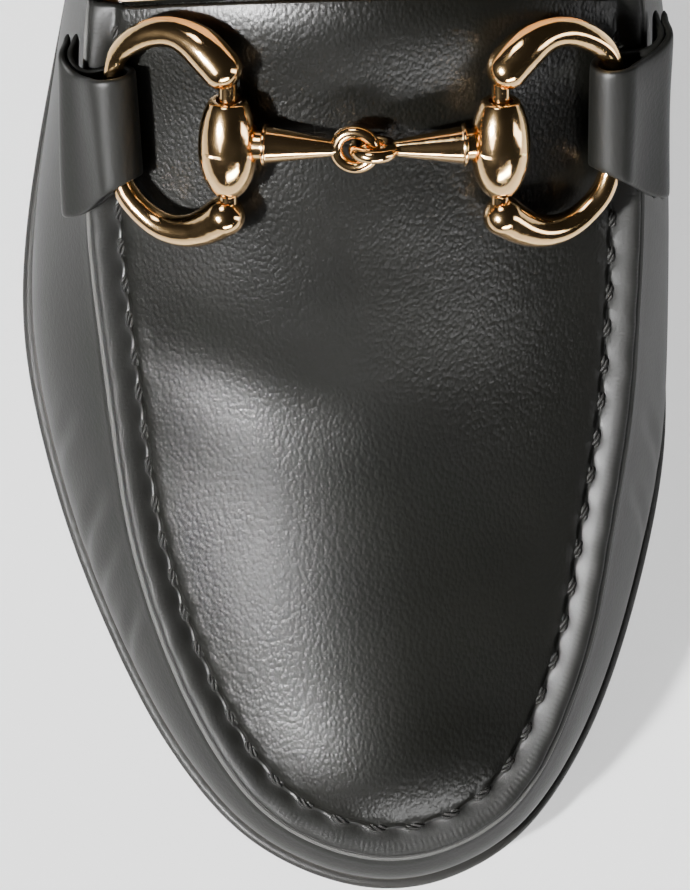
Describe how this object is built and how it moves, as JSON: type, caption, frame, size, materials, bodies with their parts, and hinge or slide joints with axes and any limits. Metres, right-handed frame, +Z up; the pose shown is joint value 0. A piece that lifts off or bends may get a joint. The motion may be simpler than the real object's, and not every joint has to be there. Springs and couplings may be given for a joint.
{
  "type": "loafer",
  "caption": "Slip-on moccasin loafer for the right foot with a raised apron seam, a metal snaffle bit across the instep and a low stacked heel.",
  "frame": {"origin": "on the ground, under the middle of the shoe's box", "axes": "+Z up, -Y towards the toe, +X towards the inner side of the foot"},
  "size_m": [0.0896, 0.2626, 0.0794],
  "materials": {
    "upper_leather": "polished black calf, fine grain",
    "sole_leather": "burnished black edge",
    "heel_rubber": "matt black",
    "lining_leather": "smooth tan",
    "bit_metal": "polished pale rose gold plate"
  },
  "bodies": {
    "root": {"upper": "upper_leather", "collar_binding": "upper_leather", "bit_tab_lateral": "upper_leather", "bit_tab_medial": "upper_leather", "outsole": "sole_leather", "heel_lift_1": "sole_leather", "heel_lift_2": "sole_leather", "top_lift": "heel_rubber", "insole": "lining_leather", "bit_mouth_lateral": "bit_metal", "bit_mouth_medial": "bit_metal", "bit_cheek_lateral": "bit_metal", "bit_cheek_medial": "bit_metal"}
  },
  "joints": []
}
